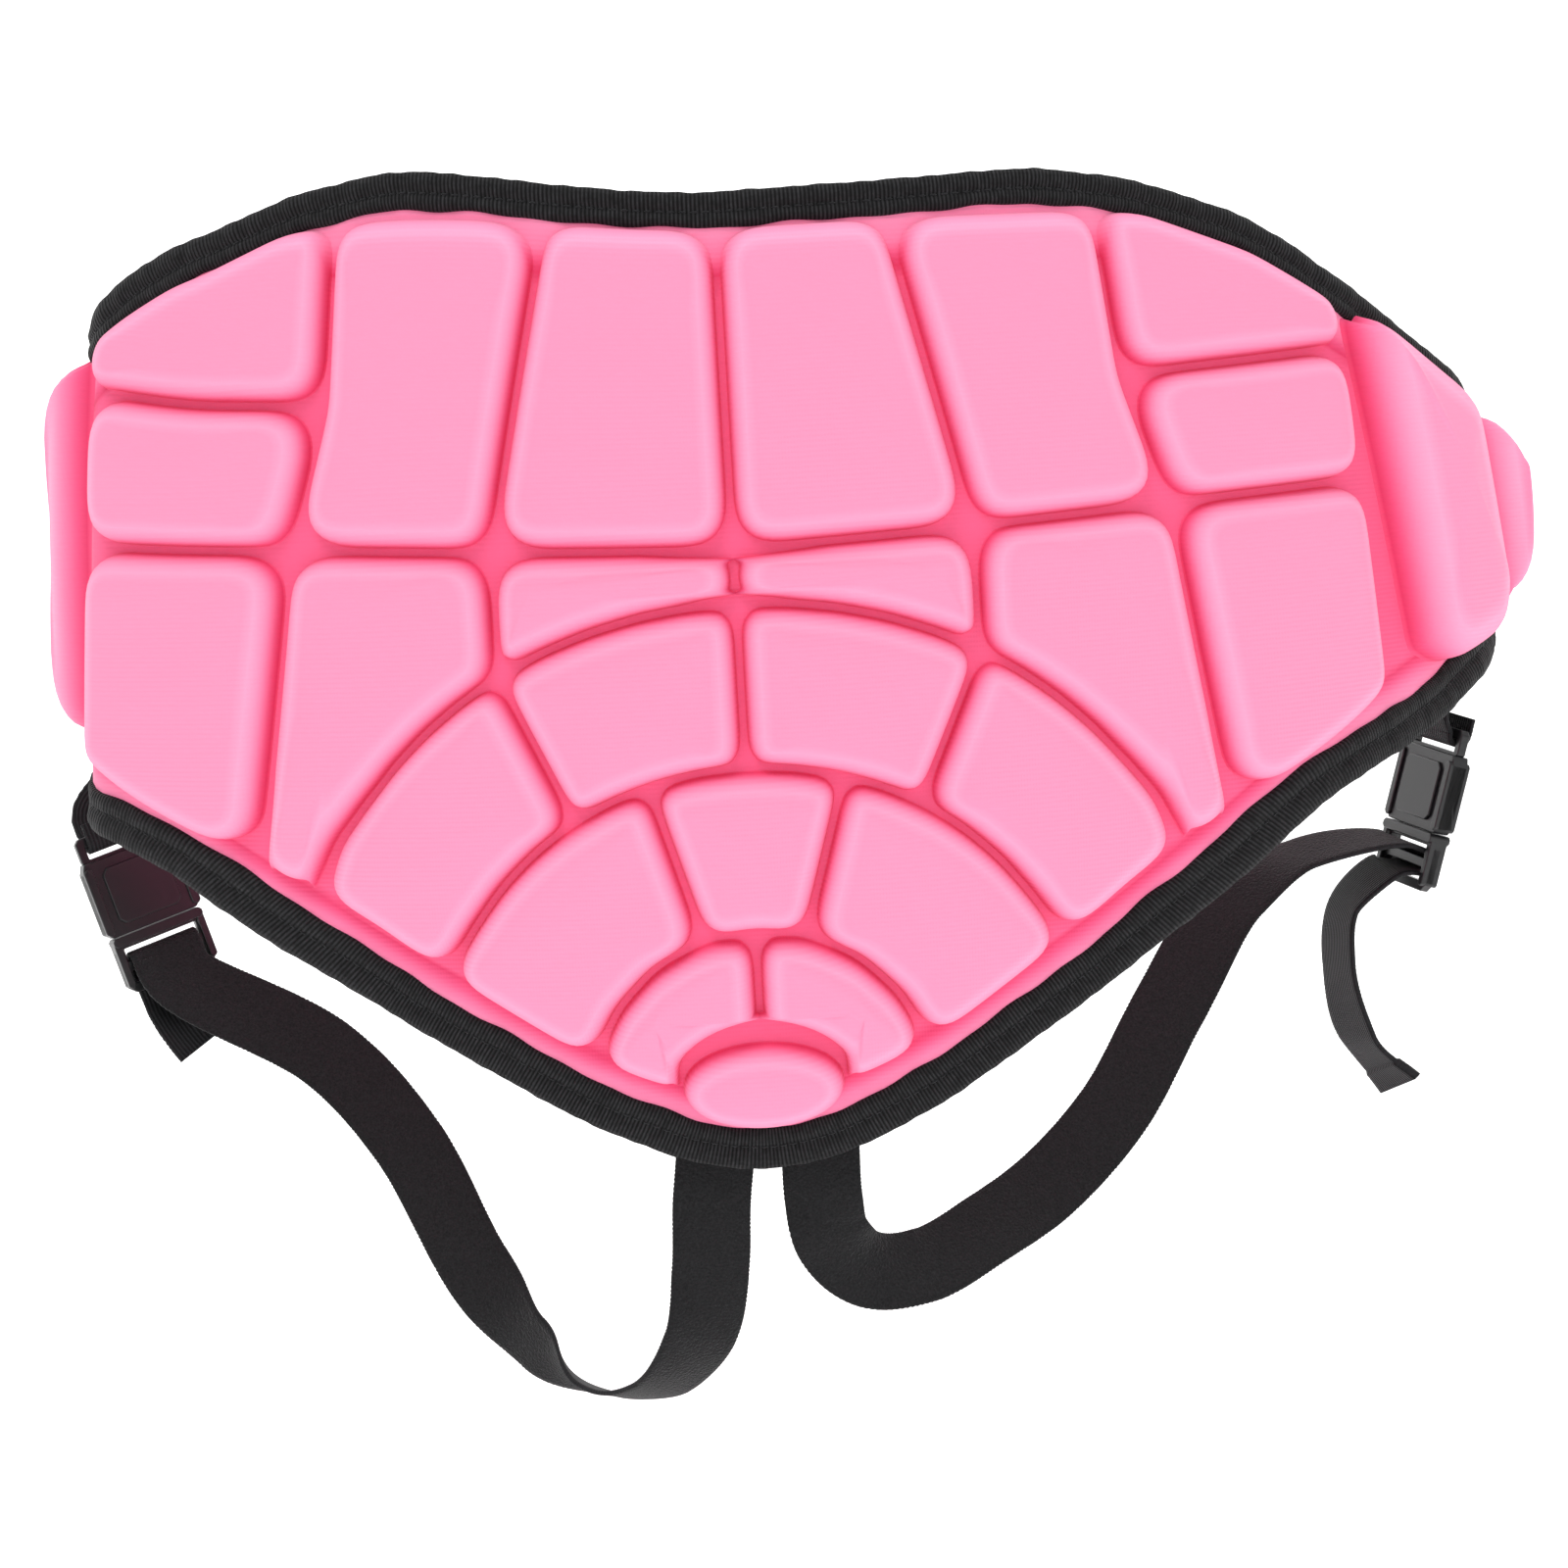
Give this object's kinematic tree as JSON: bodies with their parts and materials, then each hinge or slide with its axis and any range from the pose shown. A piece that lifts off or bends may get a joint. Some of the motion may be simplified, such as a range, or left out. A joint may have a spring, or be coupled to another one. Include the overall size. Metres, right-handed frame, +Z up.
{
  "type": "tailbone protector with leg straps",
  "caption": "Worn padded guard that wraps the lower back and tailbone, with a taped edge, hip pads and side release buckled leg straps.",
  "frame": {"origin": "inner face of the foam on the centre line, where the upright groove crosses the long level groove, where the guard bears on the wearer's back", "axes": "+Z up, -Y out of the padded face, +Y towards the wearer, +X to the right of a viewer who looks at the padded face"},
  "size_m": [0.506, 0.1877, 0.4057],
  "materials": {
    "pink_foam": "fine knit skin on moulded foam",
    "black_tape": "ribbed folded tape, stitched",
    "black_webbing": "woven webbing with a napped face",
    "black_plastic": "semi gloss moulded plastic"
  },
  "bodies": {
    "root": {"padded_shield": "pink_foam", "edge_binding": "black_tape", "left_leg_strap": "black_webbing", "right_leg_strap": "black_webbing", "left_buckle_tab": "black_webbing", "right_buckle_tab": "black_webbing", "left_buckle_socket": "black_plastic", "right_buckle_socket": "black_plastic", "left_buckle_clip": "black_plastic", "right_buckle_clip": "black_plastic"}
  },
  "joints": []
}
